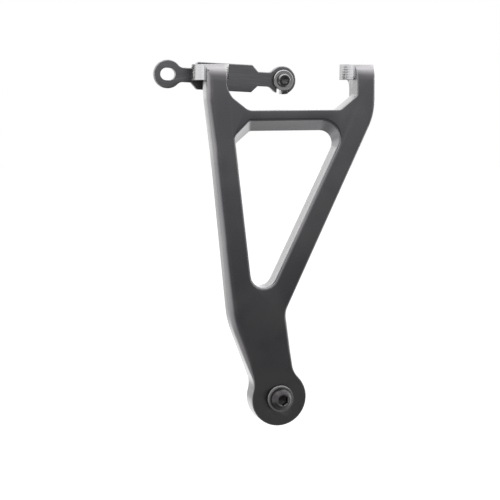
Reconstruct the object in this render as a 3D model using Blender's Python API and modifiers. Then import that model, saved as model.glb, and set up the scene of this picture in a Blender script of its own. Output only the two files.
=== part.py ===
"""Motorcycle footrest hanger: a machined aluminium plate that hangs from two lugs.

Metres, +Z up, seen from the front along +Y. The origin is on the top face of the left lug,
beside its bolt hole, on the line between the two lug holes. The plate hangs down from there to
a round lug with an exhaust bolt, and a thin strap with two eyes is screwed behind the left lug.
"""
import math

import bmesh
import bpy
from mathutils import Matrix, Vector

MM = 0.001

# Clearance between pieces that touch, and the distance at which points are one point
GAP = 0.3 * MM
WELD = 0.01 * MM

# Plate
plate_thickness = 10.5 * MM
arm_width = 10.5 * MM
edge_round = 1.8 * MM
leg_round = 3.2 * MM
waist_round = 4.2 * MM
waist_round_reach = 45.0 * MM
lug_edge_round = 0.7 * MM
back_chamfer = 0.6 * MM
longest_edge = 9.0 * MM
edge_segments = 4

# Top lugs, bolted up under the subframe
hole_spacing = 84.0 * MM
lug_radius = 10.2 * MM
lug_height = 8.4 * MM
lug_bore = 8.4 * MM
lug_setback = 14.5 * MM
lug_blend = 6.5 * MM
lug_tuck = 0.3 * MM
arm_top_round = 8.0 * MM
roll_segments = 8
underside_fillet = 5.0 * MM
rim_chamfer = 0.4 * MM

# Rib behind each arm, under its lug: flush with the arm's inner side, set in on its outer side
rib_depth = 3.4 * MM
rib_inset = 2.0 * MM
rib_reach = 8.8 * MM

# Exhaust lug, placed from the left lug hole and the lugs' top faces
exhaust_lug_radius = 15.5 * MM
exhaust_across = 34.5 * MM
exhaust_drop = 180.3 * MM

# Bends of the plate's outer edge. The left arm's straight side ends below its lug. The waist, the
# throats and the knee are placed from the exhaust hole, across and up, and the left bend from
# the left lug hole, across and down
left_arm_straight = 8.2 * MM
left_arm_radius = 40.0 * MM
left_bend = (-1.55 * MM, -46.4 * MM)
left_bend_radius = 200.0 * MM
waist = (-26.95 * MM, 42.8 * MM)
waist_radius = 50.0 * MM
left_throat = (-14.85 * MM, 11.0 * MM)
left_throat_fillet = 12.0 * MM
right_throat = (7.4 * MM, 20.0 * MM)
right_throat_fillet = 12.0 * MM
knee = (3.8 * MM, 46.9 * MM)
knee_radius = 10.0 * MM
shoulder_drop = 26.6 * MM
shoulder_radius = 35.0 * MM

# Notch between the two arms: its depth, and its sloped corners beside each arm. The flare beside
# the left arm starts below the lug
notch_drop = 24.3 * MM
notch_right_slope = (9.8 * MM, 7.7 * MM)
notch_left_slope = (9.0 * MM, 6.9 * MM)
notch_right_radii = (2.0 * MM, 3.0 * MM)
notch_left_radii = (6.0 * MM, 5.0 * MM)
notch_left_flare = 3.0 * MM
flare_below_lug = 3.8 * MM
flare_radius = 11.0 * MM

# Window: the crossbar above it is thicker at the back, so its upper wall slopes
rail_height = 5.9 * MM
rail_slope = 5.4 * MM
left_leg_top = 12.2 * MM
left_leg_foot = 13.9 * MM
right_leg_top = 12.9 * MM
right_leg_foot = 14.6 * MM
window_foot_radius = 7.4 * MM
window_corner_front = 10.0 * MM
window_corner_back = 7.0 * MM
window_chamfer_front = (9.0 * MM, 7.9 * MM)
window_chamfer_back = (11.2 * MM, 8.6 * MM)
window_chamfer_radius = 2.5 * MM
window_edge_round = 1.5 * MM

# Exhaust bolt and what it clamps
bolt_diameter = 8.0 * MM
bolt_length = 30.0 * MM
bolt_head_diameter = 14.0 * MM
bolt_head_height = 4.4 * MM
bolt_head_flat = 7.4 * MM
bolt_head_ledge = 1.0 * MM
bolt_socket = 5.0 * MM
bolt_socket_depth = 3.2 * MM
bush_wall = 1.7 * MM
bush_flange_diameter = 14.4 * MM
bush_flange = 2.2 * MM
washer_diameter = 16.0 * MM
washer_thickness = 1.6 * MM
nut_across_flats = 13.0 * MM
nut_height = 6.3 * MM
nut_collar = 1.9 * MM

# Strap, its two screws and its eyes
strap_flat_depth = 4.2 * MM
strap_thickness = 3.0 * MM
strap_tilt = math.radians(-3.0)
strap_across = 10.65 * MM
strap_drop = 6.9 * MM
eye_spacing = 64.4 * MM
eye_radius = 7.6 * MM
eye_hole = (8.5 * MM, 6.6 * MM)
neck_width = 7.8 * MM
neck_fillet = 3.5 * MM
strap_plate_length = 37.4 * MM
strap_plate_width = 14.8 * MM
strap_plate_shift = -0.5 * MM
strap_plate_corner = 3.5 * MM
strap_edge = 0.35 * MM
screw_diameter = 3.0 * MM
screw_spacing = 10.8 * MM
screw_grip = 3.0 * MM
screw_head_diameter = 5.5 * MM
screw_head_height = 1.7 * MM
screw_head_flat = 3.2 * MM
screw_socket = 2.0 * MM
screw_socket_depth = 1.0 * MM

# Eye bolt, in a keyed bush in the strap's open eye
eye_bolt_diameter = 5.0 * MM
eye_bolt_length = 16.0 * MM
eye_bolt_head_diameter = 7.4 * MM
eye_bolt_head_height = 1.8 * MM
eye_bolt_head_flat = 5.6 * MM
eye_bolt_socket = 3.0 * MM
eye_bolt_socket_depth = 1.1 * MM
eye_bush_wall = 0.9 * MM
eye_bush_flange_diameter = 11.2 * MM
eye_bush_flange = 1.8 * MM
eye_key_width = 3.8 * MM
eye_key_across = 1.1 * MM
eye_slot_play = 2.3 * MM
eye_washer_diameter = 10.0 * MM
eye_washer_thickness = 1.0 * MM
eye_nut_across_flats = 8.0 * MM
eye_nut_height = 3.6 * MM
eye_nut_collar = 2.0 * MM

# Nylon ring of a lock nut
insert_height = 1.0 * MM
insert_wall = 0.5 * MM
insert_lip = 0.35 * MM

# Worked out from the sizes above
left_hole_x = -(lug_radius + lug_bore / 2) / 2
right_hole_x = left_hole_x + hole_spacing
front_y = -lug_setback
back_y = front_y + plate_thickness
exhaust_x = left_hole_x + exhaust_across
strap_seat = lug_radius - strap_flat_depth

# Stands an outline drawn in XY upright, with its Z to the front
FACING_FRONT = Matrix(((1, 0, 0, 0), (0, 0, -1, 0), (0, 1, 0, 0), (0, 0, 0, 1)))


for stale in list(bpy.data.objects):
    bpy.data.objects.remove(stale, do_unlink=True)

parts = bpy.data.collections.new("Footrest hanger")
cutters = bpy.data.collections.new("Cutters")
for collection in (parts, cutters):
    bpy.context.scene.collection.children.link(collection)


def material(name, color, roughness, metallic):
    """A plain Principled material."""
    made = bpy.data.materials.new(name)
    made.use_nodes = True
    shader = made.node_tree.nodes["Principled BSDF"]
    shader.inputs["Base Color"].default_value = (*color, 1.0)
    shader.inputs["Roughness"].default_value = roughness
    shader.inputs["Metallic"].default_value = metallic
    return made


black_anodised = material("black anodised aluminium", (0.075, 0.075, 0.08), 0.42, 0.35)
black_steel = material("black steel", (0.09, 0.09, 0.095), 0.38, 0.7)
black_nylon = material("black nylon", (0.05, 0.05, 0.05), 0.55, 0.0)
zinc_steel = material("zinc plated steel", (0.45, 0.45, 0.46), 0.35, 0.9)
strap_finish = material("dark strap finish", (0.06, 0.06, 0.065), 0.5, 0.3)


# Outlines in a plane

def right_of(direction):
    """The direction a quarter turn to the right, which is outwards on an outline drawn
    counter-clockwise."""
    return Vector((direction.y, -direction.x))


def rotated(direction, angle):
    """A direction turned counter-clockwise by an angle."""
    cos, sin = math.cos(angle), math.sin(angle)
    return Vector((direction.x * cos - direction.y * sin, direction.x * sin + direction.y * cos))


def arc(centre, radius, start, end, segments):
    """Points on an arc about a centre, between two angles."""
    angles = [start + (end - start) * step / segments for step in range(segments + 1)]
    return [Vector(centre) + rotated(Vector((radius, 0)), angle) for angle in angles]


def rounded(corners, grow=0.0):
    """A closed outline, counter-clockwise, of corners (across, up, radius, segments).

    With grow, each point is moved out square to the outline.
    """
    outline = []
    for index, (across, up, radius, segments) in enumerate(corners):
        here = Vector((across, up))
        arriving = (here - Vector(corners[index - 1][:2])).normalized()
        leaving = (Vector(corners[(index + 1) % len(corners)][:2]) - here).normalized()
        if radius == 0:
            outline.append(here)
            continue
        turn = -arriving.angle_signed(leaving)
        start = here - arriving * radius * math.tan(abs(turn) / 2)
        outward = right_of(arriving)
        centre = start - outward * math.copysign(radius, turn)
        for step in range(segments + 1):
            spoke = rotated(outward, turn * step / segments)
            outline.append(centre + spoke * (math.copysign(radius, turn) + grow))
    return outline


def throat(point, bend, radius, fillet, side, segments):
    """The fillet from a straight edge through two points into a circle about (0, 0).

    Side is 1 where the edge runs up on the left of the circle's middle, and -1 on its right.
    Returns the fillet's points, from the edge to the circle, and the circle's angle where it ends.
    """
    upwards = (Vector(bend) - Vector(point)).normalized()
    outward = right_of(upwards) * -side
    depth = Vector(point).dot(outward)
    rise = math.sqrt((radius + fillet) ** 2 - (depth + fillet) ** 2)
    centre = outward * (depth + fillet) + upwards * rise
    circle_angle = math.atan2(centre.y, centre.x)
    start = math.atan2(-outward.y, -outward.x)
    sweep = math.remainder(circle_angle + math.pi - start, math.tau)
    return arc(centre, fillet, start, start + sweep, segments), circle_angle


# Solids and cutters, each made in its own frame

def put(obj, finish=None, frame=None):
    """Links an object as a finished piece, or as a cutter where it has no finish."""
    if finish:
        parts.objects.link(obj)
        obj.data.materials.append(finish)
    else:
        cutters.objects.link(obj)
        obj.hide_render = True
        obj.display_type = "WIRE"
    obj.parent = frame
    return obj


def put_mesh(name, shape, finish=None, frame=None):
    """Puts a finished bmesh into an object."""
    mesh = bpy.data.meshes.new(name)
    shape.to_mesh(mesh)
    shape.free()
    return put(bpy.data.objects.new(name, mesh), finish, frame)


def slab(name, outline, thickness, finish=None, frame=None):
    """A flat solid from a filled 2D curve, in its own XY plane and as thick to both sides."""
    curve = bpy.data.curves.new(name + " outline", "CURVE")
    curve.dimensions = "2D"
    curve.fill_mode = "BOTH"
    curve.extrude = thickness / 2
    spline = curve.splines.new("POLY")
    spline.points.add(len(outline) - 1)
    spline.use_cyclic_u = True
    for point, (across, up) in zip(spline.points, outline):
        point.co = (across, up, 0, 1)
    drawn = bpy.data.objects.new(name + " outline", curve)
    cutters.objects.link(drawn)
    evaluated = drawn.evaluated_get(bpy.context.evaluated_depsgraph_get())
    mesh = bpy.data.meshes.new_from_object(evaluated)
    bpy.data.objects.remove(drawn)
    shape = bmesh.new()
    shape.from_mesh(mesh)
    bmesh.ops.remove_doubles(shape, verts=shape.verts, dist=WELD)
    shape.normal_update()
    inside_a_cap = [edge for edge in shape.edges
                    if all(abs(face.normal.z) > 0.99 for face in edge.link_faces)]
    bmesh.ops.dissolve_edges(shape, edges=inside_a_cap, use_verts=False)
    return put_mesh(name, shape, finish, frame)


def turned(name, profile, segments, finish=None, frame=None):
    """A turned solid about its own Z. The profile (radius, height) runs down its outer side, and
    closes on itself where it starts away from the axis."""
    mesh = bpy.data.meshes.new(name)
    edges = [(index, index + 1) for index in range(len(profile) - 1)]
    if profile[0][0] > 0:
        edges.append((len(profile) - 1, 0))
    mesh.from_pydata([(radius, 0, height) for radius, height in profile], edges, [])
    obj = put(bpy.data.objects.new(name, mesh), finish, frame)
    screw = obj.modifiers.new("Turn", "SCREW")
    screw.steps = screw.render_steps = segments
    screw.use_merge_vertices = True
    screw.merge_threshold = WELD
    return obj


def prism(name, across_flats, low, high, finish=None, frame=None):
    """A hexagonal prism about its own Z, between two heights."""
    shape = bmesh.new()
    radius = across_flats / math.sqrt(3)
    bmesh.ops.create_cone(shape, cap_ends=True, segments=6, radius1=radius, radius2=radius,
                          depth=high - low)
    bmesh.ops.translate(shape, verts=shape.verts, vec=(0, 0, (low + high) / 2))
    return put_mesh(name, shape, finish, frame)


def box(name, low, high, frame=None):
    """A cutter box between two corners."""
    shape = bmesh.new()
    bmesh.ops.create_cube(shape, size=1.0)
    bmesh.ops.scale(shape, verts=shape.verts, vec=Vector(high) - Vector(low))
    bmesh.ops.translate(shape, verts=shape.verts, vec=(Vector(low) + Vector(high)) / 2)
    return put_mesh(name, shape, None, frame)


def boolean(obj, other, operation):
    """Adds an exact Boolean of another object."""
    step = obj.modifiers.new(operation.title() + " " + other.name, "BOOLEAN")
    step.object = other
    step.operation = operation
    step.solver = "EXACT"


def stand(name, across, depth, up, tilt=0.0):
    """An empty whose Z points to the front, turned about that Z by the tilt."""
    frame = bpy.data.objects.new(name, None)
    parts.objects.link(frame)
    frame.rotation_euler = (math.radians(90), -tilt, 0)
    frame.location = (across, depth, up)
    return frame


# Hanger: plate, two top lugs and the webs under them, machined as one piece

def plate_outline():
    """The plate's outer edge, across and up from the left lug hole and the lugs' top faces."""
    half = arm_width / 2
    lug = Vector((exhaust_across, -exhaust_drop))
    left_fillet, left_angle = throat(left_throat, waist, exhaust_lug_radius,
                                     left_throat_fillet, 1, 6)
    right_fillet, right_angle = throat(right_throat, knee, exhaust_lug_radius,
                                       right_throat_fillet, -1, 6)
    notch_left = half + notch_left_flare
    sloped_edges = rounded([
        (*(lug + right_fillet[0]), 0, 1),
        (*(lug + Vector(knee)), knee_radius, 5),
        (hole_spacing + half, -shoulder_drop, shoulder_radius, 8),
        (hole_spacing + half, -lug_tuck, 0, 1),
        (hole_spacing - half, -lug_tuck, 0, 1),
        (hole_spacing - half, notch_right_slope[1] - notch_drop, notch_right_radii[0], 3),
        (hole_spacing - half - notch_right_slope[0], -notch_drop, notch_right_radii[1], 3),
        (notch_left + notch_left_slope[0], -notch_drop, notch_left_radii[0], 4),
        (notch_left, notch_left_slope[1] - notch_drop, notch_left_radii[1], 3),
        (half, -lug_height - flare_below_lug, flare_radius, 5),
        (half, -lug_tuck, 0, 1),
        (-half, -lug_tuck, 0, 1),
        (-half, -lug_height - left_arm_straight, left_arm_radius, 3),
        (*left_bend, left_bend_radius, 2),
        (*(lug + Vector(waist)), waist_radius, 6),
        (*(lug + left_fillet[0]), 0, 1),
    ])
    round_lug = arc((0, 0), exhaust_lug_radius, left_angle, right_angle + math.tau, 30)
    foot = left_fillet[1:-1] + round_lug + right_fillet[-2:0:-1]
    return sloped_edges + [lug + point for point in foot]


def with_short_edges(outline):
    """The same closed outline with its long straight edges split, and the arms' sides split where
    their rolled tops have their points."""
    split = []
    for here, after in zip(outline, outline[1:] + outline[:1]):
        split.append(here)
        if max(here.y, after.y) < roll_level(0) + WELD:
            pieces = math.ceil((after - here).length / longest_edge)
            split += [here + (after - here) * step / pieces for step in range(1, pieces)]
        elif abs(after.y - here.y) > WELD:
            levels = [roll_level(step) for step in range(roll_segments)]
            for level in levels if after.y > here.y else reversed(levels):
                split.append(Vector((edge_across(here, after, level), level)))
    return split


def roll_level(step):
    """How high the rolled top of an arm lies after a number of its steps."""
    return arm_top_round * (math.sin(math.pi / 2 * step / roll_segments) - 1) - lug_tuck


def roll_angle(place):
    """How far an arm's rolled top has turned at a place: 0 below it, and a quarter turn on top."""
    return math.asin(min(max((place.y + lug_tuck) / arm_top_round + 1, 0), 1))


def front_round(place):
    """The radius of the plate's front edge: larger down the left leg and at the waist, small
    round the exhaust lug and the notch, and running out over the arms' tops."""
    radius = edge_round
    if 0 < place.x < hole_spacing and place.y > -notch_drop - edge_round:
        radius = lug_edge_round
    waist_place = Vector((exhaust_across, -exhaust_drop)) + Vector(waist)
    if place.x < edge_across(left_bend, waist_place, place.y) + edge_round:
        radius = leg_round
    above_waist = (place.y - waist_place.y) / waist_round_reach
    if place.x < exhaust_across and abs(above_waist) < 1:
        radius += (waist_round - radius) * (0.5 + 0.5 * math.cos(math.pi * above_waist))
    clear_of_lug = (place - Vector((exhaust_across, -exhaust_drop))).length / exhaust_lug_radius - 1
    share = min(max(clear_of_lug / 0.6, 0), 1)
    radius = lug_edge_round + (radius - lug_edge_round) * share
    return radius * (1 - roll_angle(place) / (math.pi / 2))


def make_plate():
    """The flat plate, lofted from its back outline to its front one, with its front edges rounded
    and its arm tops rolled back."""
    outline = with_short_edges(plate_outline())
    count = len(outline)
    shape = bmesh.new()
    loops = []
    for index, place in enumerate(outline):
        arriving = (place - outline[index - 1]).normalized()
        leaving = (outline[(index + 1) % count] - place).normalized()
        inward = -right_of(arriving + leaving) / (1 + arriving.dot(leaving))
        front = plate_thickness / 2 - arm_top_round * (1 - math.cos(roll_angle(place)))
        chamfer = min(back_chamfer, -lug_tuck - place.y)
        steps = [(chamfer, -plate_thickness / 2), (0, chamfer - plate_thickness / 2)]
        for step in range(edge_segments + 1):
            angle = math.pi / 2 * step / edge_segments
            radius = front_round(place)
            steps.append((radius * (1 - math.cos(angle)), front - radius * (1 - math.sin(angle))))
        loops.append([shape.verts.new((*(place + inward * moved), height))
                      for moved, height in steps])
    rings = list(zip(*loops))
    shape.faces.new(reversed(rings[0]))
    for lower, upper in zip(rings, rings[1:]):
        for index in range(count):
            after = (index + 1) % count
            shape.faces.new((lower[index], lower[after], upper[after], upper[index]))
    rolled = set()
    for index in range(count):
        if min(outline[index].y, outline[(index + 1) % count].y) > -lug_tuck - WELD:
            for step in range(roll_segments):
                corners = (index - step - 1, index - step, index + step + 1, index + step + 2)
                shape.faces.new(rings[-1][corner % count] for corner in corners)
                rolled |= {corners[1] % count, corners[2] % count}
    shape.faces.new(vert for index, vert in enumerate(rings[-1]) if index not in rolled)
    bmesh.ops.remove_doubles(shape, verts=shape.verts, dist=WELD)
    shape.transform(Matrix.Translation((left_hole_x, (front_y + back_y) / 2, 0)) @ FACING_FRONT)
    return put_mesh("hanger", shape, black_anodised)


def make_lug(side, hole_x):
    """One top lug: a thick disc behind the arm's top, blended into the arm's sides."""
    neck = arm_width / 2 - lug_tuck
    neck_front = front_y + edge_round + lug_tuck
    blend_x = neck + lug_blend
    blend_y = -math.sqrt((lug_radius + lug_blend) ** 2 - blend_x ** 2)
    meets = math.atan2(blend_y, blend_x)
    right = arc((blend_x, blend_y), lug_blend, math.pi, math.pi + meets, 5)
    left = [Vector((-point.x, point.y)) for point in reversed(right)]
    rim = arc((0, 0), lug_radius, meets, math.pi - meets, 36)
    outline = [Vector((-neck, neck_front)), Vector((neck, neck_front))] + right + rim[1:-1] + left
    lug = slab(side + " lug", outline, lug_height)
    lug.location = (hole_x, 0, -lug_height / 2)
    chamfer = lug.modifiers.new("Rim chamfer", "BEVEL")
    chamfer.width = rim_chamfer
    chamfer.segments = 1
    chamfer.angle_limit = math.radians(60)
    boolean(lug, make_rolled_top(side, hole_x), "DIFFERENCE")
    return lug


def along_the_bike(obj, across):
    """Turns a slab so that it lies in the YZ plane, with its thickness across."""
    obj.rotation_euler = (math.radians(90), 0, math.radians(90))
    obj.location = (across, 0, 0)
    return obj


def make_rolled_top(side, hole_x):
    """The cutter that carries the arm's rolled-back top on over the lug."""
    foremost = front_y + lug_tuck
    roll = arc((foremost + arm_top_round, -arm_top_round), arm_top_round, math.pi, math.pi / 2,
               roll_segments)
    clear = lug_height
    roll[-1] += roll[-1] - roll[-2]
    outline = roll + [Vector((roll[-1].x, clear)), Vector((foremost - clear, clear)),
                      Vector((foremost - clear, -arm_top_round))]
    return along_the_bike(slab(side + " rolled top", outline[::-1], 3 * lug_radius), hole_x)


def make_web(side, hole_x, inwards):
    """The rib behind the arm, with the fillet that carries the lug's underside. Inwards is 1
    where the notch is on its right, and -1 on its left."""
    tuck = lug_tuck / 2
    corner = Vector((back_y + rib_depth + underside_fillet - tuck,
                     tuck - lug_height - underside_fillet))
    outline = arc(corner, underside_fillet, math.pi, math.pi / 2, 6)
    inside = 1.0 * MM
    foot = -lug_height - rib_reach
    outline += [corner + Vector((0, underside_fillet + inside)),
                Vector((back_y - inside, inside - lug_height)),
                Vector((back_y - inside, foot - rib_depth - inside)),
                Vector((back_y + rib_depth - tuck, foot - tuck))]
    web = slab(side + " web", outline[::-1], arm_width - lug_tuck - rib_inset)
    return along_the_bike(web, hole_x + inwards * (rib_inset - lug_tuck) / 2)


def window_corners(drop, chamfer, corner_radius):
    """The window's outline where its upper edge lies at a given drop below the lugs' tops."""
    lug = Vector((exhaust_across, -exhaust_drop))
    waist_point = lug + Vector(waist)
    top = -(notch_drop + rail_height)
    left_top = edge_across(left_bend, waist_point, top) + left_leg_top
    left_foot = edge_across(left_bend, waist_point, waist_point.y) + left_leg_foot
    shoulder = Vector((hole_spacing + arm_width / 2, -shoulder_drop))
    knee_point = lug + Vector(knee)
    right_top = edge_across(knee_point, shoulder, top) - right_leg_top
    right_foot = edge_across(knee_point, shoulder, waist_point.y) - right_leg_foot
    left_line = (Vector((left_foot, waist_point.y)), Vector((left_top, top)))
    right_line = (Vector((right_foot, waist_point.y)), Vector((right_top, top)))
    foot = crossing(left_line, right_line)
    return [
        (*foot, window_foot_radius, 8),
        (edge_across(*right_line, -drop), -drop, corner_radius, 8),
        (edge_across(*left_line, -drop) + chamfer[0], -drop, window_chamfer_radius, 3),
        (edge_across(*left_line, -drop - chamfer[1]), -drop - chamfer[1], window_chamfer_radius, 3),
    ]


def edge_across(low, high, up):
    """How far across a straight edge lies at a height."""
    return low[0] + (high[0] - low[0]) * (up - low[1]) / (high[1] - low[1])


def crossing(first, second):
    """Where two straight edges cross."""
    spread = edge_across(*second, 0) - edge_across(*first, 0)
    narrowing = edge_across(*second, 1) - edge_across(*first, 1) - spread
    up = -spread / narrowing
    return Vector((edge_across(*first, up), up))


def make_window(frame):
    """The cutter for the three-sided window, lofted from the front outline to the back one."""
    front_drop = notch_drop + rail_height
    front = window_corners(front_drop, window_chamfer_front, window_corner_front)
    back = window_corners(front_drop + rail_slope, window_chamfer_back, window_corner_back)
    half = plate_thickness / 2
    rings = [(half + window_edge_round, rounded(front, window_edge_round))]
    for step in range(4):
        angle = math.radians(30 * step)
        out = window_edge_round * (1 - math.sin(angle))
        rings.append((half - window_edge_round * (1 - math.cos(angle)), rounded(front, out)))
    rings += [(-half, rounded(back)), (-half - window_edge_round, rounded(back))]
    shape = bmesh.new()
    loops = [[shape.verts.new((point.x, point.y, height)) for point in ring] for height, ring in rings]
    shape.faces.new(loops[0])
    shape.faces.new(reversed(loops[-1]))
    for upper, lower in zip(loops, loops[1:]):
        for index in range(len(upper)):
            shape.faces.new((upper[index - 1], lower[index - 1], lower[index], upper[index]))
    return put_mesh("window", shape, None, frame)


def make_bore(name, diameter, low, high, chamfered, frame=None):
    """The cutter for a through hole: its upper mouth is chamfered, and its lower one too where
    asked, or else it runs straight on down past the face."""
    radius = diameter / 2
    past = 1.0 * MM
    upper = [(0, high + past), (radius + rim_chamfer + past, high + past),
             (radius, high - rim_chamfer)]
    if chamfered:
        lower = [(radius, low + rim_chamfer), (radius + rim_chamfer + past, low - past),
                 (0, low - past)]
    else:
        lower = [(radius, low), (0, low)]
    return turned(name, upper + lower, 40, None, frame)


bush_diameter = bolt_diameter + 2 * GAP + 2 * bush_wall

hanger = make_plate()
window_frame = stand("window frame", left_hole_x, (front_y + back_y) / 2, 0)
boolean(hanger, make_window(window_frame), "DIFFERENCE")
for side, hole_x, inwards in (("left", left_hole_x, 1), ("right", right_hole_x, -1)):
    boolean(hanger, make_lug(side, hole_x), "UNION")
    boolean(hanger, make_web(side, hole_x, inwards), "UNION")
for side, hole_x in (("left", left_hole_x), ("right", right_hole_x)):
    lug_hole = make_bore(side + " lug bore", lug_bore, -2 * lug_height, 0, False)
    lug_hole.location.x = hole_x
    boolean(hanger, lug_hole, "DIFFERENCE")
exhaust_frame = stand("exhaust bolt frame", exhaust_x, front_y, -exhaust_drop)
boolean(hanger, make_bore("exhaust bore", bush_diameter + 2 * GAP, -plate_thickness, 0, True,
                          exhaust_frame), "DIFFERENCE")
boolean(hanger, box("strap flat", (left_hole_x - 1.5 * lug_radius, strap_seat, -1.5 * lug_height),
                    (left_hole_x + 1.5 * lug_radius, 2 * lug_radius, lug_height)), "DIFFERENCE")


# Exhaust bolt, its two bushes, its washer and its lock nut, along the bolt's own Z

def domed_head(diameter, flat, height, ledge=0.0):
    """The profile of a button head above its seat, from its flat top down to its rim. With a
    ledge, the dome stands on a low rim that is wider than it."""
    rim = 0.14 * height
    edge = diameter / 2 - ledge
    top = flat / 2
    centre = (top ** 2 + height ** 2 - edge ** 2 - rim ** 2) / (2 * (height - rim))
    radius = math.hypot(top, height - centre)
    start = math.asin(top / radius)
    end = math.acos((rim - centre) / radius)
    dome = [(radius * math.sin(a), centre + radius * math.cos(a))
            for a in (start + (end - start) * step / 6 for step in range(7))]
    if ledge:
        dome += [(edge + ledge - 0.3 * rim, rim), (edge + ledge, 0.7 * rim)]
    return [(0, height)] + dome + [(edge + ledge, 0)]


def make_screw(name, head, diameter, length, socket, depth, segments, finish, frame, seat):
    """A socket screw: a turned head and shank, with a hexagonal socket. Its seat is the height
    of the face that its head rests on."""
    radius = diameter / 2
    point = 0.12 * diameter
    profile = head + [(radius, 0), (radius, point - length), (radius - point, -length), (0, -length)]
    screw = turned(name, profile, segments, finish, frame)
    top = head[0][1]
    recess = prism(name + " socket", socket, top - depth, top + depth, None, frame)
    screw.location.z = recess.location.z = seat
    boolean(screw, recess, "DIFFERENCE")
    return screw


def flanged_bush(name, bore, wall, flange_diameter, flange, sleeve, finish, frame, seat, flip):
    """A top-hat bush: its flange rests at the seat, and its sleeve runs down into the hole."""
    inner = bore / 2
    outer = inner + wall
    edge = flange_diameter / 2
    rim = 0.15 * flange
    bush = turned(name, [(inner, flange), (edge - rim, flange), (edge, flange - rim), (edge, 0),
                         (outer, 0), (outer, -sleeve), (inner, -sleeve)], 40, finish, frame)
    bush.location.z = seat
    if flip:
        bush.rotation_euler.x = math.pi
    return bush


def make_washer(name, bore, diameter, thickness, finish, frame, seat):
    """A plain washer whose top face is at the seat."""
    inner, outer = bore / 2, diameter / 2
    rim = 0.15 * thickness
    washer = turned(name, [(inner, 0), (outer - rim, 0), (outer, -rim), (outer, rim - thickness),
                           (outer - rim, -thickness), (inner, -thickness)], 40, finish, frame)
    washer.location.z = seat
    return washer


def make_lock_nut(name, diameter, across_flats, height, collar, finish, frame, seat):
    """A hexagonal lock nut, top face at the seat, with a collar round its nylon ring."""
    corner = across_flats / math.sqrt(3)
    chamfer = 0.6 * (corner - across_flats / 2)
    bore = diameter / 2 + GAP
    recess = bore + insert_wall + GAP
    foot = -height - collar
    nut = prism(name, across_flats, -height, 0, finish, frame)
    past = corner + GAP
    envelope = turned(name + " corners", [(0, GAP), (corner - 2 * chamfer, GAP),
                                          (past, -chamfer - GAP), (past, chamfer + GAP - height),
                                          (corner - 2 * chamfer, -height - GAP),
                                          (0, -height - GAP)], 36, None, frame)
    neck = turned(name + " collar", [(0, -height / 2), (0.485 * across_flats, -height / 2),
                                     (0.485 * across_flats, foot + insert_lip),
                                     (0.485 * across_flats - insert_lip, foot), (0, foot)],
                  36, None, frame)
    groove_foot = foot + insert_lip
    groove_top = groove_foot + insert_height + 2 * GAP
    hollow = turned(name + " bore", [(0, GAP), (bore, GAP), (bore, groove_top), (recess, groove_top),
                                     (recess, groove_foot), (bore, groove_foot), (bore, foot - GAP),
                                     (0, foot - GAP)], 36, None, frame)
    for obj in (nut, envelope, neck, hollow):
        obj.location.z = seat
    envelope.rotation_euler.z = math.pi / 36
    boolean(nut, envelope, "INTERSECT")
    boolean(nut, neck, "UNION")
    boolean(nut, hollow, "DIFFERENCE")
    ring_foot = groove_foot + GAP
    ring = turned(name + "_insert", [(bore, ring_foot + insert_height),
                                     (bore + insert_wall, ring_foot + insert_height),
                                     (bore + insert_wall, ring_foot), (bore, ring_foot)],
                  36, black_nylon, frame)
    ring.location.z = seat
    return nut


bolt_seat = 2 * GAP + bush_flange
half_sleeve = (plate_thickness - GAP) / 2 + GAP
make_screw("exhaust_bolt",
           domed_head(bolt_head_diameter, bolt_head_flat, bolt_head_height, bolt_head_ledge),
           bolt_diameter, bolt_length, bolt_socket, bolt_socket_depth, 48, black_steel,
           exhaust_frame, bolt_seat)
for name, seat, flip in (("front_bush", GAP, False), ("rear_bush", -plate_thickness - GAP, True)):
    flanged_bush(name, bolt_diameter + 2 * GAP, bush_wall, bush_flange_diameter, bush_flange,
                 half_sleeve, black_steel, exhaust_frame, seat, flip)
washer_seat = -plate_thickness - 2 * GAP - bush_flange
make_washer("exhaust_washer", bolt_diameter + 2 * GAP, washer_diameter, washer_thickness,
            zinc_steel, exhaust_frame, washer_seat)
make_lock_nut("exhaust_nut", bolt_diameter, nut_across_flats, nut_height, nut_collar, zinc_steel,
              exhaust_frame, washer_seat - washer_thickness - GAP)


# Strap, in its own frame: its middle plane, with Z to the front

def strap_outline():
    """The strap's edge: two round eyes, two necks and a wider plate between them."""
    half_span = eye_spacing / 2
    neck = neck_width / 2
    inward = half_span / 2
    lower, low_angle = throat((-inward, -neck), (-half_span, -neck), eye_radius, neck_fillet, 1, 4)
    upper, high_angle = throat((-inward, neck), (-half_span, neck), eye_radius, neck_fillet, -1, 4)
    right_eye = lower + arc((0, 0), eye_radius, low_angle, high_angle, 28)[1:-1] + upper[::-1]
    right_eye = [point + Vector((half_span, 0)) for point in right_eye]
    left_eye = [-point for point in right_eye]
    foot = strap_plate_length / 2
    flat = foot - strap_plate_corner
    wide = strap_plate_width / 2
    lower_edge = [(-foot, -neck), (-flat, -wide), (flat, -wide), (foot, -neck)]
    lower_edge = [Vector((across + strap_plate_shift, up)) for across, up in lower_edge]
    upper_edge = [Vector((point.x, -point.y)) for point in reversed(lower_edge)]
    return lower_edge + right_eye + upper_edge + left_eye


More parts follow.
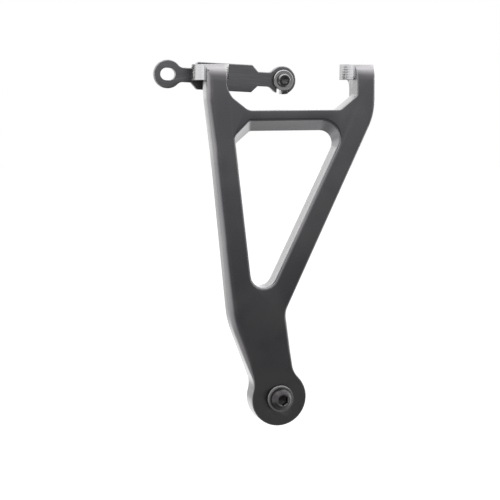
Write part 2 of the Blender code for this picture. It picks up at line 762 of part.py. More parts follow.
def make_strap(frame):
    """The flat strap: its left eye has an oval hole, its right eye is open downwards."""
    strap = slab("strap", strap_outline(), strap_thickness, strap_finish, frame)
    edges = strap.modifiers.new("Edge chamfer", "BEVEL")
    edges.width = strap_edge
    edges.segments = 1
    edges.angle_limit = math.radians(60)
    half_span = eye_spacing / 2
    end = eye_hole[1] / 2
    side = eye_hole[0] / 2 - end
    oval = arc((side, 0), end, -math.pi / 2, math.pi / 2, 12)
    oval += arc((-side, 0), end, math.pi / 2, 1.5 * math.pi, 12)
    left_hole = slab("strap left eye", oval, 2 * strap_thickness, None, frame)
    left_hole.location.x = -half_span
    hole = eye_bush_diameter / 2 + GAP
    slot_left = eye_key_across - eye_key_width / 2 - eye_slot_play
    slot_right = eye_key_across + eye_key_width / 2 + GAP
    left_angle = math.atan2(-math.sqrt(hole ** 2 - slot_left ** 2), slot_left)
    right_angle = math.atan2(-math.sqrt(hole ** 2 - slot_right ** 2), slot_right)
    keyhole = [(slot_left, -1.5 * eye_radius), (slot_right, -1.5 * eye_radius)]
    keyhole += arc((0, 0), hole, right_angle, left_angle + math.tau, 26)
    right_hole = slab("strap right eye", keyhole, 2 * strap_thickness, None, frame)
    right_hole.location.x = half_span
    boolean(strap, left_hole, "DIFFERENCE")
    boolean(strap, right_hole, "DIFFERENCE")
    return strap


eye_bush_diameter = eye_bolt_diameter + 2 * GAP + 2 * eye_bush_wall
strap_frame = stand("strap frame", left_hole_x + strap_across,
                    strap_seat + GAP + strap_thickness / 2, -strap_drop, strap_tilt)
strap = make_strap(strap_frame)

# Two small screws hold the strap on the flat behind the left lug
screw_seat = 2 * GAP + strap_thickness
for side, offset in (("left", -screw_spacing / 2), ("right", screw_spacing / 2)):
    screw_frame = bpy.data.objects.new(side + " screw frame", None)
    parts.objects.link(screw_frame)
    screw_frame.rotation_euler.x = math.radians(-90)
    screw_frame.location = (left_hole_x + offset, strap_seat, -lug_height / 2)
    clearance = screw_diameter / 2 + GAP
    depth = screw_grip + 0.4 * MM
    tapped = turned(side + " strap screw hole", [(0, 1.0 * MM), (clearance, 1.0 * MM),
                                                 (clearance, -depth), (0, -depth)], 24,
                    None, screw_frame)
    passing = turned(side + " strap hole", [(0, 2 * screw_seat), (clearance, 2 * screw_seat),
                                            (clearance, -GAP), (0, -GAP)], 24, None, screw_frame)
    boolean(hanger, tapped, "DIFFERENCE")
    boolean(strap, passing, "DIFFERENCE")
    make_screw("strap_screw_" + side,
               domed_head(screw_head_diameter, screw_head_flat, screw_head_height),
               screw_diameter, screw_seat + screw_grip, screw_socket, screw_socket_depth, 24,
               black_steel, screw_frame, screw_seat)

# The keyed bush in the open eye, and the small bolt that passes through it
eye_frame = stand("eye bolt frame", 0, 0, 0)
eye_frame.parent = strap_frame
eye_frame.rotation_euler = (0, 0, 0)
eye_frame.location = (eye_spacing / 2, 0, strap_thickness / 2)
eye_bush = flanged_bush("eye_bush", eye_bolt_diameter + 2 * GAP, eye_bush_wall,
                        eye_bush_flange_diameter, eye_bush_flange, strap_thickness + GAP,
                        black_steel, eye_frame, GAP, False)
key_top = -(eye_bush_diameter - eye_bush_wall) / 2
key_low = Vector((eye_key_across - eye_key_width / 2, -eye_radius))
key_high = Vector((eye_key_across + eye_key_width / 2, key_top))
key_end = [rotated(Vector((0, -eye_radius)), angle) for angle in
           (math.asin(key_low.x / eye_radius * (1 - step / 6) + key_high.x / eye_radius * step / 6)
            for step in range(7))]
key_height = strap_thickness + GAP + 0.7 * eye_bush_flange
eye_key = slab("eye key", key_end + [key_high, Vector((key_low.x, key_top))], key_height, None,
               eye_frame)
eye_key.location.z = key_height / 2 - strap_thickness
boolean(eye_bush, eye_key, "UNION")
make_screw("eye_bolt",
           domed_head(eye_bolt_head_diameter, eye_bolt_head_flat, eye_bolt_head_height),
           eye_bolt_diameter, eye_bolt_length, eye_bolt_socket, eye_bolt_socket_depth, 32,
           black_steel, eye_frame, 2 * GAP + eye_bush_flange)
make_washer("eye_washer", eye_bolt_diameter + 2 * GAP, eye_washer_diameter, eye_washer_thickness,
            zinc_steel, eye_frame, -strap_thickness - GAP)
make_lock_nut("eye_nut", eye_bolt_diameter, eye_nut_across_flats, eye_nut_height, eye_nut_collar,
              zinc_steel, eye_frame, -strap_thickness - 2 * GAP - eye_washer_thickness)
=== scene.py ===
"""Motorcycle footrest hanger: a black anodised plate with two bolt lugs, an exhaust bolt in a
round lug at its foot, and a dark strap with two eyes screwed behind one lug.
"""
import math

import bmesh
import bpy
from mathutils import Matrix, Vector


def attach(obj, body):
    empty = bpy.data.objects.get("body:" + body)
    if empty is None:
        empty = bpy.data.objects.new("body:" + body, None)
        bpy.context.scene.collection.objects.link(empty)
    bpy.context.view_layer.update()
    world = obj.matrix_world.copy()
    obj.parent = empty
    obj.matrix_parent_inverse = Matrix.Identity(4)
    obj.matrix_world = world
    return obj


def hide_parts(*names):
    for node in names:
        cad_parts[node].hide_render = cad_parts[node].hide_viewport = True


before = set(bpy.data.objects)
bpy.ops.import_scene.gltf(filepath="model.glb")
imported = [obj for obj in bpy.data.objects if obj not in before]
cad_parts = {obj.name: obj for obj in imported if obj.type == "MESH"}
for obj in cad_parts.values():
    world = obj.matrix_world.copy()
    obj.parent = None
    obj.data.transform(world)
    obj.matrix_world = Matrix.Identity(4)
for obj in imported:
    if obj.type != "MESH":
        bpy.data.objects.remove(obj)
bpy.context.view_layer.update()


# Hanger: the plate and its two lugs are milled from one piece of aluminium, then blasted and
# anodised black. The lugs' walls keep the fine level lines of the cutter.

MM = 0.001
WELD = 0.002 * MM
SHARP_ANGLE = math.radians(30)
# Painted reflection: the lugs' upright walls get this lighter colour in place of the light they
# catch.
PAINTED_WALL_SHEEN = (0.11, 0.11, 0.112, 1.0)


def shader_group(name, inputs, outputs):
    """An empty shader group with named inputs (name, value) and outputs (name, kind)."""
    group = bpy.data.node_groups.new(name, "ShaderNodeTree")
    for label, value in inputs:
        kind = "NodeSocketColor" if isinstance(value, tuple) else "NodeSocketFloat"
        group.interface.new_socket(label, in_out="INPUT", socket_type=kind).default_value = value
    for label, kind in outputs:
        group.interface.new_socket(label, in_out="OUTPUT", socket_type=kind)
    return group, group.nodes.new("NodeGroupInput"), group.nodes.new("NodeGroupOutput")


def calculated(tree, operation, first, second=None, third=None):
    """A Math node's value. Each input is a number or another node's output."""
    node = tree.nodes.new("ShaderNodeMath")
    node.operation = operation
    for socket, value in zip(node.inputs, (first, second, third)):
        if isinstance(value, (int, float)):
            socket.default_value = value
        elif value is not None:
            tree.links.new(value, socket)
    return node.outputs["Value"]


def ramp(tree, value, low, high, start=0.0, end=1.0):
    """A value's smooth passage from start to end, between low and high."""
    node = tree.nodes.new("ShaderNodeMapRange")
    node.interpolation_type = "SMOOTHSTEP"
    for label, number in (("From Min", low), ("From Max", high),
                          ("To Min", start), ("To Max", end)):
        node.inputs[label].default_value = number
    tree.links.new(value, node.inputs["Value"])
    return node.outputs["Result"]


def blended(tree, share, first, second):
    """A mix of two colours. Each is a colour or another node's output."""
    node = tree.nodes.new("ShaderNodeMix")
    node.data_type = "RGBA"
    for socket, value in zip((node.inputs["Factor"], node.inputs["A"], node.inputs["B"]),
                             (share, first, second)):
        if isinstance(value, (int, float, tuple)):
            socket.default_value = value
        else:
            tree.links.new(value, socket)
    return node.outputs["Result"]


def grain_group():
    """Metal with a colour and a roughness that vary a little, and a fine grain in metres."""
    group, given, made = shader_group(
        "Metal grain",
        (("Color", (0.05, 0.05, 0.05, 1.0)), ("Tint", (0.06, 0.06, 0.06, 1.0)),
         ("Roughness", 0.4), ("Spread", 0.1), ("Grain", 3000.0), ("Patches", 30.0),
         ("Relief", 0.01 * MM)),
        (("Color", "NodeSocketColor"), ("Roughness", "NodeSocketFloat"),
         ("Height", "NodeSocketFloat")))
    place = group.nodes.new("ShaderNodeTexCoord")
    textures = {}
    for label, detail in (("Grain", 3.0), ("Patches", 2.0)):
        texture = textures[label] = group.nodes.new("ShaderNodeTexNoise")
        texture.inputs["Detail"].default_value = detail
        group.links.new(place.outputs["Object"], texture.inputs["Vector"])
        group.links.new(given.outputs[label], texture.inputs["Scale"])
    grain, patches = textures["Grain"].outputs["Fac"], textures["Patches"].outputs["Fac"]
    contrast = ramp(group, patches, 0.35, 0.65)
    group.links.new(blended(group, contrast, given.outputs["Color"], given.outputs["Tint"]),
                    made.inputs["Color"])
    centred = calculated(group, "SUBTRACT", calculated(group, "ADD", grain, patches), 1.0)
    group.links.new(calculated(group, "MULTIPLY_ADD", centred, given.outputs["Spread"],
                               given.outputs["Roughness"]), made.inputs["Roughness"])
    group.links.new(calculated(group, "MULTIPLY", grain, given.outputs["Relief"]),
                    made.inputs["Height"])
    return group


def cutter_group():
    """Fine level lines left by a cutter on upright walls, above a height and behind a depth."""
    group, given, made = shader_group(
        "Cutter lines", (("Above", -8.6 * MM), ("Behind", -9.0 * MM), ("Pitch", 0.9 * MM),
                         ("Relief", 0.01 * MM)),
        (("Mask", "NodeSocketFloat"), ("Height", "NodeSocketFloat")))
    place = group.nodes.new("ShaderNodeTexCoord")
    split = group.nodes.new("ShaderNodeSeparateXYZ")
    group.links.new(place.outputs["Object"], split.inputs["Vector"])
    surface = group.nodes.new("ShaderNodeNewGeometry")
    facing = group.nodes.new("ShaderNodeSeparateXYZ")
    group.links.new(surface.outputs["Normal"], facing.inputs["Vector"])
    level = calculated(group, "ABSOLUTE", facing.outputs["Z"])
    upright = calculated(group, "LESS_THAN", level, 0.5)
    high = calculated(group, "GREATER_THAN", split.outputs["Z"], given.outputs["Above"])
    behind = calculated(group, "GREATER_THAN", split.outputs["Y"], given.outputs["Behind"])
    mask = calculated(group, "MULTIPLY", calculated(group, "MULTIPLY", upright, high), behind)
    turns = calculated(group, "DIVIDE", split.outputs["Z"], given.outputs["Pitch"])
    wave = calculated(group, "SINE", calculated(group, "MULTIPLY", turns, math.tau))
    uneven = group.nodes.new("ShaderNodeTexNoise")
    uneven.noise_dimensions = "1D"
    uneven.inputs["Scale"].default_value = 0.7
    group.links.new(turns, uneven.inputs["W"])
    cut = calculated(group, "MULTIPLY", wave, uneven.outputs["Fac"])
    group.links.new(mask, made.inputs["Mask"])
    group.links.new(calculated(group, "MULTIPLY", calculated(group, "MULTIPLY", cut, mask),
                               given.outputs["Relief"]), made.inputs["Height"])
    return group


metal_grain = grain_group()
cutter_lines = cutter_group()


def metal(name, color, tint, roughness, relief, spread=0.08, grain=3000.0, patches=60.0,
          metallic=1.0):
    """A finish of two shades. Its roughness varies by spread, relief is the depth of its grain in
    metres, and grain and patches are how fine the two patterns are."""
    finish = bpy.data.materials.new(name)
    finish.use_nodes = True
    nodes, links = finish.node_tree.nodes, finish.node_tree.links
    shader = nodes["Principled BSDF"]
    shader.inputs["Metallic"].default_value = metallic
    surface = nodes.new("ShaderNodeGroup")
    surface.name = "Surface"
    surface.node_tree = metal_grain
    surface.inputs["Color"].default_value = (*color, 1.0)
    surface.inputs["Tint"].default_value = (*tint, 1.0)
    for label, value in (("Roughness", roughness), ("Spread", spread), ("Grain", grain),
                         ("Patches", patches), ("Relief", relief)):
        surface.inputs[label].default_value = value
    bump = nodes.new("ShaderNodeBump")
    bump.name = "Relief"
    bump.inputs["Distance"].default_value = 1.0
    links.new(surface.outputs["Color"], shader.inputs["Base Color"])
    links.new(surface.outputs["Roughness"], shader.inputs["Roughness"])
    links.new(surface.outputs["Height"], bump.inputs["Height"])
    links.new(bump.outputs["Normal"], shader.inputs["Normal"])
    return finish


def finished(shape, name, finish, node):
    """Puts a finished shape into the scene, smoothly shaded, where it stands for a solid."""
    mesh = bpy.data.meshes.new(name)
    shape.to_mesh(mesh)
    shape.free()
    mesh.shade_smooth()
    mesh.set_sharp_from_angle(angle=SHARP_ANGLE)
    mesh.materials.append(finish)
    piece = bpy.data.objects.new(name, mesh)
    bpy.context.scene.collection.objects.link(piece)
    weights = piece.modifiers.new("Flat faces stay flat", "WEIGHTED_NORMAL")
    weights.keep_sharp = True
    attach(piece, "root")
    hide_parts(node)


def merged(node):
    """A solid's own triangles, joined up."""
    shape = bmesh.new()
    shape.from_mesh(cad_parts[node].data)
    for layer in list(shape.loops.layers.float_vector):
        shape.loops.layers.float_vector.remove(layer)
    bmesh.ops.remove_doubles(shape, verts=shape.verts, dist=WELD)
    return shape


def anodised_finish():
    """Black anodised aluminium with the cutter's lines on the lugs' walls, painted lighter there
    as a painted reflection.
    """
    finish = metal("Black anodised aluminium", (0.044, 0.044, 0.047), (0.053, 0.051, 0.053),
                   roughness=0.28, relief=0.006 * MM, spread=0.05, grain=2600.0, patches=35.0)
    nodes, links = finish.node_tree.nodes, finish.node_tree.links
    lines = nodes.new("ShaderNodeGroup")
    lines.node_tree = cutter_lines
    lines.inputs["Relief"].default_value = 0.03 * MM
    surface = nodes["Surface"]
    both = calculated(finish.node_tree, "ADD", surface.outputs["Height"], lines.outputs["Height"])
    links.new(both, nodes["Relief"].inputs["Height"])
    # The lugs' walls are painted lighter: a painted reflection, not a colour of the metal.
    links.new(blended(finish.node_tree, lines.outputs["Mask"], surface.outputs["Color"], PAINTED_WALL_SHEEN),
              nodes["Principled BSDF"].inputs["Base Color"])
    return finish


anodised = anodised_finish()
finished(merged("hanger"), "milled_hanger", anodised, "hanger")


# Exhaust bolt: a button head socket screw in black steel, through two flanged steel bushes pressed
# into the round lug, with a zinc plated washer and lock nut behind. The nut grips by a nylon ring.

def solid_box(node):
    """A solid's low and high corners."""
    places = [vert.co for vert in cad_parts[node].data.vertices]
    return (Vector([min(place[axis] for place in places) for axis in range(3)]),
            Vector([max(place[axis] for place in places) for axis in range(3)]))


def on_axis(node, depth, backwards=False):
    """Places a turned shape on a solid's axis at a depth, with its Z to the front or the back."""
    low, high = solid_box(node)
    middle = (low + high) / 2
    turn = Matrix.Rotation(math.radians(-90 if backwards else 90), 4, "X")
    return Matrix.Translation((middle.x, depth, middle.z)) @ turn


def softened(profile, radius, steps=4):
    """A profile with its corners rounded off, as far as its shorter sides allow."""
    soft = [Vector(profile[0])]
    for before, corner, after in zip(profile, profile[1:], profile[2:]):
        middle = Vector(corner)
        sides = [Vector(other) - middle for other in (before, after)]
        start, end = (middle + side.normalized() * min(radius, 0.45 * side.length)
                      for side in sides)
        for step in range(steps + 1):
            share = step / steps
            soft.append(start * (1 - share) ** 2 + middle * 2 * share * (1 - share)
                        + end * share ** 2)
    return soft + [Vector(profile[-1])]


def turned(profile, steps=96):
    """A shape turned about Z from a profile (radius, height) down its outer side. A profile that
    starts away from the axis is closed on itself."""
    shape = bmesh.new()
    verts = [shape.verts.new((radius, 0, height)) for radius, height in profile]
    pairs = list(zip(verts, verts[1:]))
    if profile[0][0] > 0:
        pairs.append((verts[-1], verts[0]))
    edges = [shape.edges.new(pair) for pair in pairs]
    bmesh.ops.spin(shape, geom=verts + edges, axis=(0, 0, 1), cent=(0, 0, 0), steps=steps,
                   angle=math.tau, use_merge=True)
    bmesh.ops.remove_doubles(shape, verts=shape.verts, dist=WELD)
    bmesh.ops.recalc_face_normals(shape, faces=shape.faces)
    return shape


def hexagon_radius(place, flats):
    """How far a hexagon's side lies from Z towards a place. Its corners lie along Y."""
    turn = (math.atan2(place.y, place.x) + math.pi / 6) % (math.pi / 3) - math.pi / 6
    return flats / 2 / math.cos(turn)


def reshape_ring(vert, radius):
    """Moves a point of a turned shape to another radius."""
    scale = radius / vert.co.xy.length
    vert.co.x *= scale
    vert.co.y *= scale


THREAD_DEPTH = 0.61


def add_thread(shape, radius, pitch, low, high, steps=40):
    """Adds a helical thread between two heights, with a chamfer at its low end."""
    root = radius - THREAD_DEPTH * pitch
    turns = math.ceil((high - low) / pitch) + 2
    outline = ((root, 0), (root, pitch / 8), (radius, 7 / 16 * pitch), (radius, 9 / 16 * pitch),
               (root, 7 / 8 * pitch), (root, pitch))
    thread = bmesh.new()
    verts = [thread.verts.new((across, 0, low - pitch + up)) for across, up in outline]
    edges = [thread.edges.new(pair) for pair in zip(verts, verts[1:])]
    bmesh.ops.spin(thread, geom=verts + edges, axis=(0, 0, 1), cent=(0, 0, 0),
                   dvec=(0, 0, pitch / steps), steps=steps * turns, angle=math.tau * turns)
    bmesh.ops.remove_doubles(thread, verts=thread.verts, dist=0.001 * MM)
    for height, upwards in ((low, -1), (high, 1)):
        everything = thread.verts[:] + thread.edges[:] + thread.faces[:]
        bmesh.ops.bisect_plane(thread, geom=everything, plane_co=(0, 0, height),
                               plane_no=(0, 0, upwards), clear_outer=True)
    rims = [edge for edge in thread.edges if edge.is_boundary]
    bmesh.ops.edgeloop_fill(thread, edges=rims)
    for vert in thread.verts:
        widest = root - 0.1 * pitch + vert.co.z - low
        if vert.co.xy.length > widest:
            reshape_ring(vert, widest)
    bmesh.ops.recalc_face_normals(thread, faces=thread.faces)
    holder = bpy.data.meshes.new("thread")
    thread.to_mesh(holder)
    thread.free()
    shape.from_mesh(holder)
    bpy.data.meshes.remove(holder)


def socket_screw(node, name, finish, head, shank, socket, thread, backwards=False):
    """A button head screw. Head is (flat radius, height, ledge), shank is (radius, length without
    thread), socket is (across flats, depth) and thread is its pitch."""
    low, high = solid_box(node)
    flat, height, ledge = head
    edge = min(high.x - low.x, high.z - low.z) / 2
    length = high.y - low.y - height
    flats, depth = socket
    radius, plain = shank
    rim = 0.14 * height
    root = radius - THREAD_DEPTH * thread
    base = edge - ledge
    inner = flats / 2
    mouth = 1.04 * flats / math.sqrt(3)
    dome = [(base + (flat - base) * math.sin(angle) ** 2, rim + (height - rim) * math.sin(angle))
            for angle in (math.pi / 2 * step / 10 for step in range(11))]
    top = [(0, height - depth - 0.3 * inner), (inner, height - depth),
           (inner, height - 0.7 * (mouth - inner)), (mouth, height)]
    foot = [(edge, rim), (edge, 0), (radius + 0.15 * MM, 0), (radius, -0.15 * MM),
            (radius, -plain), (root, -plain - 0.5 * thread), (root, 0.1 * thread - length),
            (0, 0.1 * thread - length)]
    skirt = [(base + 0.15 * ledge, rim)] if ledge else []
    under = softened([dome[0]] + skirt + foot, 0.12 * MM)
    shape = turned(top + softened(dome[:0:-1], 0.2 * MM, 2) + under)
    for vert in shape.verts:
        if abs(vert.co.xy.length - inner) < WELD and vert.co.z > height - depth - 0.01 * MM:
            reshape_ring(vert, hexagon_radius(vert.co, flats))
    add_thread(shape, radius, thread, -length, -plain - thread)
    seat = high.y - height if backwards else low.y + height
    shape.transform(on_axis(node, seat, backwards))
    finished(shape, name, finish, node)


def flanged_bush(node, name, finish, bore, wall, flange, backwards=False):
    """A top-hat bush with rounded edges. Its flange lies on the face that its sleeve enters."""
    low, high = solid_box(node)
    edge = (high.x - low.x) / 2
    length = high.y - low.y
    outline = [(bore, 0), (edge, 0), (edge, -flange), (bore + wall, -flange),
               (bore + wall, -length), (bore, -length)]
    middle = Vector(((bore + edge) / 2, 0))
    shape = turned(softened([middle] + outline[1:] + outline[:1] + [middle], 0.35 * MM)[:-1])
    shape.transform(on_axis(node, high.y if backwards else low.y, backwards))
    finished(shape, name, finish, node)


def plain_washer(node, name, finish, bore):
    """A stamped washer, rounded on one face and sharp on the other."""
    low, high = solid_box(node)
    edge = (high.x - low.x) / 2
    thick = high.y - low.y
    outline = [(bore, 0), (edge, 0), (edge, -thick), (bore, -thick)]
    middle = Vector(((bore + edge) / 2, -thick))
    shape = turned(softened([middle, outline[3], outline[0], outline[1], outline[2], middle],
                            0.3 * MM)[:-1])
    shape.transform(on_axis(node, low.y))
    finished(shape, name, finish, node)


def lock_nut(node, name, finish, flats, height, bore, tilt=0.0):
    """A hexagonal lock nut with chamfered corners, and a rounded collar round its nylon ring."""
    low, high = solid_box(node)
    foot = low.y - high.y
    corner = flats / math.sqrt(3)
    land = flats / 2 - 0.1 * MM
    slope_steps = 8
    fall = 0.6 * (corner - land)
    top = [(land + (corner - land) * step / slope_steps, -fall * step / slope_steps)
           for step in range(slope_steps + 1)]
    base = [(radius, -height - up) for radius, up in reversed(top)]
    collar = 0.485 * flats
    lip = 1.1 * MM
    neck = softened([(land, -height), (collar, -height), (collar, foot + 0.1 * MM),
                     (collar - lip, foot)], 0.5 * MM)
    ring_edge = bore + 0.8 * MM
    ring_depth = 1.95 * MM
    mouth = 0.4 * MM
    groove = [(ring_edge, foot), (ring_edge, foot + ring_depth), (bore, foot + ring_depth),
              (bore, -mouth), (bore + mouth, 0)]
    shape = turned(top + base[:-1] + neck[1:] + groove)
    for vert in shape.verts:
        if vert.co.z > -height - 0.001 * MM and vert.co.xy.length > collar:
            reshape_ring(vert, min(vert.co.xy.length, hexagon_radius(vert.co, flats)))
    shape.transform(on_axis(node, low.y) @ Matrix.Rotation(tilt, 4, "Z"))
    finished(shape, name, finish, node)


def nylon_ring(node, name, finish, bore, wall):
    """The nylon ring of a lock nut, with rounded edges."""
    low, high = solid_box(node)
    thick = high.y - low.y
    outline = [(bore, 0), (bore + wall, 0), (bore + wall, -thick), (bore, -thick)]
    middle = Vector((bore + wall / 2, 0))
    shape = turned(softened([middle] + outline[1:] + outline[:1] + [middle], 0.15 * MM, 2)[:-1])
    shape.transform(on_axis(node, low.y))
    finished(shape, name, finish, node)


BOLT_BORE = 4.3 * MM
# Painted highlight: rings of this lighter colour on the screw heads stand in for light caught by
# rims and sockets.
PAINTED_GLINT_STEEL = (0.11, 0.11, 0.112, 1.0)


def blackened(name, node, rings):
    """Black oxide steel with painted highlight rings (radius, width, strength) about a solid's
    axis.
    """
    finish = metal(name, (0.011, 0.0105, 0.0112), (0.016, 0.015, 0.0158), roughness=0.34,
                   relief=0.006 * MM, patches=300.0)
    tree = finish.node_tree
    low, high = solid_box(node)
    place = tree.nodes.new("ShaderNodeTexCoord")
    centred = tree.nodes.new("ShaderNodeMapping")
    centred.inputs["Location"].default_value = -(low + high) / 2
    split = tree.nodes.new("ShaderNodeSeparateXYZ")
    tree.links.new(place.outputs["Object"], centred.inputs["Vector"])
    tree.links.new(centred.outputs["Vector"], split.inputs["Vector"])
    across, up = split.outputs["X"], split.outputs["Z"]
    square = calculated(tree, "MULTIPLY", across, across)
    radius = calculated(tree, "SQRT", calculated(tree, "MULTIPLY_ADD", up, up, square))
    painted_glint = 0.0
    # Each ring is a painted highlight, lighter where the head catches light.
    for middle, width, glint_strength in rings:
        away = calculated(tree, "ABSOLUTE", calculated(tree, "SUBTRACT", radius, middle))
        ring = ramp(tree, away, 0.3 * width, 0.6 * width, glint_strength, 0.0)
        painted_glint = calculated(tree, "MAXIMUM", painted_glint, ring)
    surface = tree.nodes["Surface"]
    tree.links.new(blended(tree, painted_glint, surface.outputs["Color"], PAINTED_GLINT_STEEL),
                   tree.nodes["Principled BSDF"].inputs["Base Color"])
    return finish


bush_steel = metal("Blackened bush steel", (0.09, 0.09, 0.092), (0.12, 0.118, 0.12),
                   roughness=0.33, relief=0.004 * MM)
zinc = metal("Zinc plated steel", (0.2, 0.2, 0.206), (0.25, 0.25, 0.252),
             roughness=0.32, relief=0.004 * MM)
nylon = metal("Black nylon", (0.03, 0.03, 0.03), (0.035, 0.035, 0.035),
              roughness=0.5, relief=0.004 * MM, metallic=0.0)
for end in ("front", "rear"):
    flanged_bush(end + "_bush", "fine_" + end + "_bush", bush_steel,
                 bore=BOLT_BORE, wall=1.7 * MM, flange=2.2 * MM, backwards=end == "rear")
# The bolt head gets painted highlight rings near its socket and at its rim.
bolt_steel = blackened("Black oxide bolt", "exhaust_bolt",
                       ((3.3 * MM, 0.9 * MM, 0.5), (6.6 * MM, 1.1 * MM, 0.8)))
socket_screw("exhaust_bolt", "fine_exhaust_bolt", bolt_steel,
             head=(3.7 * MM, 4.4 * MM, 1.0 * MM), shank=(4.0 * MM, 12.0 * MM),
             socket=(5.0 * MM, 3.2 * MM), thread=1.25 * MM)
plain_washer("exhaust_washer", "fine_exhaust_washer", zinc, bore=BOLT_BORE)
lock_nut("exhaust_nut", "fine_exhaust_nut", zinc,
         flats=13.0 * MM, height=6.3 * MM, bore=BOLT_BORE)
nylon_ring("exhaust_nut_insert", "fine_exhaust_nut_insert", nylon, bore=BOLT_BORE, wall=0.5 * MM)


# Strap: a thin steel strap, cut out flat with an oval eye and an open one, brushed along its
# length and coated dark. Two small button head screws hold it on a flat behind the left lug.

STRAP_TILT = math.radians(-3.0)
BRUSHED_STEEL = (0.066, 0.066, 0.069, 1.0)


def brushed_group():
    """Fine lines along X after a turn about Y: a share from 0 to 1, and a height in metres."""
    group, given, made = shader_group(
        "Brushed lines", (("Relief", 0.01 * MM),),
        (("Share", "NodeSocketFloat"), ("Height", "NodeSocketFloat")))
    place = group.nodes.new("ShaderNodeTexCoord")
    along = group.nodes.new("ShaderNodeMapping")
    along.inputs["Rotation"].default_value = (0, STRAP_TILT, 0)
    stretched = group.nodes.new("ShaderNodeMapping")
    stretched.inputs["Scale"].default_value = (90, 2500, 4200)
    lines = group.nodes.new("ShaderNodeTexNoise")
    lines.inputs["Scale"].default_value = 1.0
    lines.inputs["Detail"].default_value = 3.0
    group.links.new(place.outputs["Object"], along.inputs["Vector"])
    group.links.new(along.outputs["Vector"], stretched.inputs["Vector"])
    group.links.new(stretched.outputs["Vector"], lines.inputs["Vector"])
    group.links.new(ramp(group, lines.outputs["Fac"], 0.3, 0.7), made.inputs["Share"])
    group.links.new(calculated(group, "MULTIPLY", lines.outputs["Fac"], given.outputs["Relief"]),
                    made.inputs["Height"])
    return group


def strap_coating():
    """A thin dark coating that shows the brushed lines of the steel under it."""
    finish = metal("Dark strap coating", (0.044, 0.044, 0.047), (0.05, 0.05, 0.052),
                   roughness=0.42, relief=0.004 * MM, spread=0.06, patches=30.0)
    tree = finish.node_tree
    lines = tree.nodes.new("ShaderNodeGroup")
    lines.node_tree = brushed_group()
    lines.inputs["Relief"].default_value = 0.012 * MM
    surface = tree.nodes["Surface"]
    share = calculated(tree, "MULTIPLY", lines.outputs["Share"], 0.7)
    tree.links.new(blended(tree, share, surface.outputs["Color"], BRUSHED_STEEL),
                   tree.nodes["Principled BSDF"].inputs["Base Color"])
    tree.links.new(calculated(tree, "ADD", surface.outputs["Height"], lines.outputs["Height"]),
                   tree.nodes["Relief"].inputs["Height"])
    return finish


finished(merged("strap"), "fine_strap", strap_coating(), "strap")
for side in ("left", "right"):
    screw_steel = blackened("Black oxide screw " + side, "strap_screw_" + side,
                            ((1.6 * MM, 0.4 * MM, 0.4), (2.6 * MM, 0.4 * MM, 0.8)))
    socket_screw("strap_screw_" + side, "fine_strap_screw_" + side, screw_steel,
                 head=(1.6 * MM, 1.7 * MM, 0), shank=(1.5 * MM, 1.2 * MM),
                 socket=(2.0 * MM, 1.0 * MM), thread=0.5 * MM, backwards=True)


# Small bolt in the strap's open eye: a flanged bush with a key that fills the eye's opening, a low
# screw through it, and a washer and lock nut behind.

EYE_BORE = 2.8 * MM
finished(merged("eye_bush"), "fine_eye_bush", bush_steel, "eye_bush")
# The eye bolt's head gets painted highlight rings too.
eye_steel = blackened("Black oxide eye bolt", "eye_bolt",
                      ((3.3 * MM, 1.0 * MM, 0.3), (0.0, 4.0 * MM, 0.25)))
socket_screw("eye_bolt", "fine_eye_bolt", eye_steel,
             head=(2.8 * MM, 1.8 * MM, 0), shank=(2.5 * MM, 4.0 * MM),
             socket=(3.0 * MM, 1.1 * MM), thread=0.8 * MM)
plain_washer("eye_washer", "fine_eye_washer", zinc, bore=EYE_BORE)
lock_nut("eye_nut", "fine_eye_nut", zinc,
         flats=8.0 * MM, height=3.6 * MM, bore=EYE_BORE, tilt=STRAP_TILT)
nylon_ring("eye_nut_insert", "fine_eye_nut_insert", nylon, bore=EYE_BORE, wall=0.5 * MM)


# Studio: a white surround and a pale floor below the part, with a soft lamp that the camera
# doesn't see. Reflections find it brighter above, behind and beside the part than in front.

AMBIENT = 0.5
LOW_TONE = 1.5
LEVEL_TONE = 2.4
FLOOR_RADIUS = 4.0
FLOOR_HEIGHT = -0.30
SHINE_TO_CAMERA = 0.7


def beside(tree, place):
    """Two shares from 0 to 1: how far a place lies to one side of the part and not in front of
    it, and whether it lies to the left. Returns how far it lies behind and above too."""
    split = tree.nodes.new("ShaderNodeSeparateXYZ")
    tree.links.new(place, split.inputs["Vector"])
    across, along, up = (split.outputs[axis] for axis in "XYZ")
    square = calculated(tree, "MULTIPLY", across, across)
    reach = calculated(tree, "SQRT", calculated(tree, "MULTIPLY_ADD", along, along, square))
    aside = calculated(tree, "DIVIDE", calculated(tree, "ABSOLUTE", across), reach)
    forward = calculated(tree, "DIVIDE", along, reach)
    away = ramp(tree, reach, 0.1, 0.3)
    share = calculated(tree, "MULTIPLY", ramp(tree, aside, 0.35, 1.0),
                       ramp(tree, forward, -1.10, -0.30))
    left = ramp(tree, calculated(tree, "DIVIDE", across, reach), 0.25, -0.15)
    return (calculated(tree, "MULTIPLY", share, away), calculated(tree, "MULTIPLY", left, away),
            along, up)


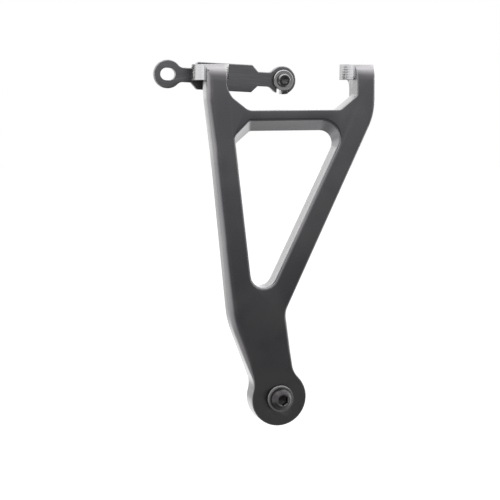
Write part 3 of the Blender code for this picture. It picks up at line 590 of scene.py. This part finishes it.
def surround():
    """The world: white to the camera, and shaded by direction in reflections."""
    world = bpy.data.worlds.new("White studio")
    bpy.context.scene.world = world
    world.use_nodes = True
    tree = world.node_tree
    tree.nodes.clear()
    path = tree.nodes.new("ShaderNodeLightPath")
    place = tree.nodes.new("ShaderNodeTexCoord")
    share, left, along, up = beside(tree, place.outputs["Generated"])
    # In front it is darker below the horizon, and behind it isn't
    rise = ramp(tree, up, -0.06, 0.0, LOW_TONE, LEVEL_TONE)
    behind = ramp(tree, along, -0.30, 0.30)
    tone = calculated(tree, "MULTIPLY_ADD", behind,
                      calculated(tree, "SUBTRACT", LEVEL_TONE, rise), rise)
    # Both sides are brighter, the left one more so, and so is what lies overhead
    tone = calculated(tree, "MULTIPLY_ADD", share, 3.8, tone)
    tone = calculated(tree, "MULTIPLY_ADD", left, 0.6, tone)
    tone = calculated(tree, "ADD", tone, ramp(tree, up, 0.45, 0.95, 0.0, 3.8))
    seen = calculated(tree, "MAXIMUM", path.outputs["Is Camera Ray"],
                      path.outputs["Is Transmission Ray"])
    glossy = calculated(tree, "MULTIPLY", path.outputs["Is Glossy Ray"],
                        calculated(tree, "SUBTRACT", tone, AMBIENT))
    strength = calculated(tree, "MULTIPLY_ADD", seen,
                          calculated(tree, "SUBTRACT", 1 - AMBIENT, glossy),
                          calculated(tree, "ADD", glossy, AMBIENT))
    light = tree.nodes.new("ShaderNodeBackground")
    light.inputs["Color"].default_value = (1, 1, 1, 1)
    tree.links.new(strength, light.inputs["Strength"])
    out = tree.nodes.new("ShaderNodeOutputWorld")
    tree.links.new(light.outputs["Background"], out.inputs["Surface"])


def lamp(name, place, size, power):
    """A square soft lamp that faces the part and isn't seen by the camera."""
    light = bpy.data.lights.new(name, "AREA")
    light.size = size
    light.energy = power
    stand = bpy.data.objects.new(name, light)
    stand.location = place
    middle = Vector((30 * MM, 0, -90 * MM))
    stand.rotation_euler = (middle - Vector(place)).to_track_quat("-Z", "Y").to_euler()
    stand.visible_camera = False
    stand.visible_diffuse = False
    bpy.context.scene.collection.objects.link(stand)


def floor_plate():
    """The pale floor. To the camera and in reflections it shines a little, as a lit sheet does."""
    shape = bmesh.new()
    bmesh.ops.create_circle(shape, cap_ends=True, segments=96, radius=FLOOR_RADIUS)
    bmesh.ops.translate(shape, verts=shape.verts, vec=(0, 0, FLOOR_HEIGHT))
    mesh = bpy.data.meshes.new("floor")
    shape.to_mesh(mesh)
    shape.free()
    floor = bpy.data.objects.new("floor", mesh)
    bpy.context.scene.collection.objects.link(floor)
    finish = bpy.data.materials.new("Pale floor")
    finish.use_nodes = True
    tree = finish.node_tree
    shader = tree.nodes["Principled BSDF"]
    shader.inputs["Base Color"].default_value = (0.9, 0.9, 0.9, 1)
    shader.inputs["Roughness"].default_value = 0.9
    shader.inputs["Specular IOR Level"].default_value = 0.0
    shader.inputs["Emission Color"].default_value = (1, 1, 1, 1)
    path = tree.nodes.new("ShaderNodeLightPath")
    place = tree.nodes.new("ShaderNodeTexCoord")
    share, left, along, _ = beside(tree, place.outputs["Object"])
    # Under the part and behind it, and far in front of it
    shine = calculated(tree, "ADD", ramp(tree, along, -0.45, -0.05, 0.0, 0.9),
                       ramp(tree, along, -1.2, -3.8, 0.0, 1.5))
    # Close behind the part's foot, and far behind
    near = calculated(tree, "MULTIPLY", ramp(tree, along, 0.6, 0.45), ramp(tree, along, 0.1, 0.35))
    shine = calculated(tree, "MULTIPLY_ADD", near, 0.9, shine)
    shine = calculated(tree, "ADD", shine, ramp(tree, along, 1.7, 2.5, 0.0, 0.5))
    # Both sides, and the left one more
    sides = calculated(tree, "MULTIPLY_ADD", left, 2.4, 1.6)
    shine = calculated(tree, "MULTIPLY_ADD", share, sides, shine)
    shine = calculated(tree, "MULTIPLY_ADD", left, 0.4, shine)
    glossy = calculated(tree, "MULTIPLY", shine, path.outputs["Is Glossy Ray"])
    lit = calculated(tree, "MULTIPLY_ADD", path.outputs["Is Camera Ray"], SHINE_TO_CAMERA, glossy)
    tree.links.new(lit, shader.inputs["Emission Strength"])
    mesh.materials.append(finish)


surround()
lamp("Overhead softbox", (0.0, 0.05, 0.9), 0.9, 9)
floor_plate()


# Camera: left of the part's middle and level with its lugs, looking slightly down, as in the
# photograph. Its place was fitted to the plate's outline.

CAMERA_PLACE = (-224.49 * MM, -778.77 * MM, -5.76 * MM)
CAMERA_YAW = math.radians(17.1)
CAMERA_PITCH = math.radians(6.63)
FOCAL_LENGTH = 108.36
camera = bpy.data.cameras.new("Camera")
camera.sensor_width = 36.0
camera.lens = FOCAL_LENGTH
camera.clip_start = 0.01
viewer = bpy.data.objects.new("Camera", camera)
bpy.context.scene.collection.objects.link(viewer)
viewer.location = CAMERA_PLACE
viewer.rotation_euler = (math.pi / 2 - CAMERA_PITCH, 0.0, -CAMERA_YAW)
bpy.context.scene.camera = viewer
bpy.context.scene.view_settings.view_transform = "Standard"
